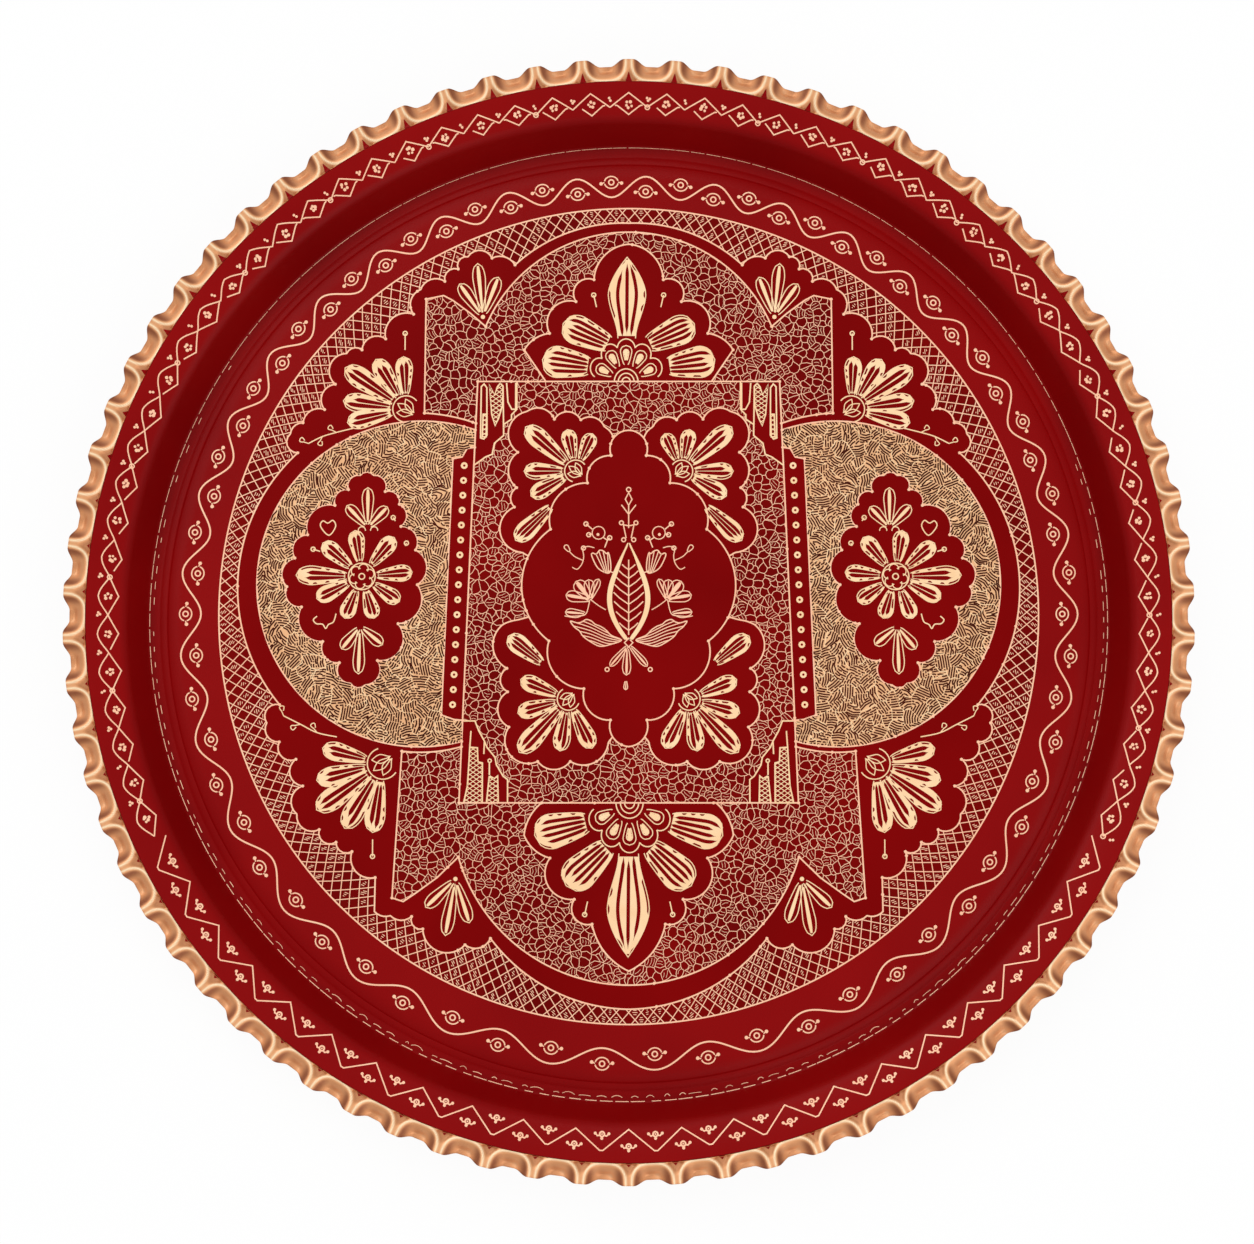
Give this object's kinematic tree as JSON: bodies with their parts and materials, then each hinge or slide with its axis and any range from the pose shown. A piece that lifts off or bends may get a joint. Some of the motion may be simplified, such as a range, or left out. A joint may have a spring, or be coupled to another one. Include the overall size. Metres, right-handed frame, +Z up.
{
  "type": "serving tray",
  "caption": "Round shallow copper serving tray with a fluted rim, a raised well inside a moat, and red lacquer engraved with a medallion, palmettes, lozenges and a vine border.",
  "frame": {"origin": "centre of the foot ring, on the surface that the tray stands on", "axes": "+Z up through the middle of the tray, +Y towards the top of its upright pattern, +X to the right"},
  "size_m": [0.3998, 0.4, 0.0189],
  "materials": {
    "copper_sheet": "polished, hand worn",
    "copper_rim": "polished, pressed",
    "solder": "dull",
    "border_lacquer": "semi-gloss",
    "vine_lacquer": "semi-gloss",
    "lattice_lacquer": "semi-gloss, engraved with a lattice",
    "plain_lacquer": "semi-gloss",
    "crackle_lacquer": "semi-gloss, engraved with a crackle of lines",
    "dense_lacquer": "semi-gloss, closely engraved"
  },
  "bodies": {
    "root": {"tray_pan": "copper_sheet", "fluted_rim": "copper_rim", "rim_solder_seam": "solder", "border_lacquer": "border_lacquer", "vine_band_lacquer": "vine_lacquer", "lattice_ground": "lattice_lacquer", "ribbon_lacquer": "plain_lacquer", "upper_ground": "crackle_lacquer", "lower_ground": "crackle_lacquer", "left_ground": "dense_lacquer", "right_ground": "dense_lacquer", "panel_ground": "crackle_lacquer", "medallion_lacquer": "plain_lacquer", "upper_left_spray_lacquer": "plain_lacquer", "upper_right_spray_lacquer": "plain_lacquer", "lower_left_spray_lacquer": "plain_lacquer", "lower_right_spray_lacquer": "plain_lacquer", "upper_palmette_lacquer": "plain_lacquer", "lower_palmette_lacquer": "plain_lacquer", "left_lozenge_lacquer": "plain_lacquer", "right_lozenge_lacquer": "plain_lacquer", "left_strip_lacquer": "plain_lacquer", "right_strip_lacquer": "plain_lacquer"}
  },
  "joints": []
}
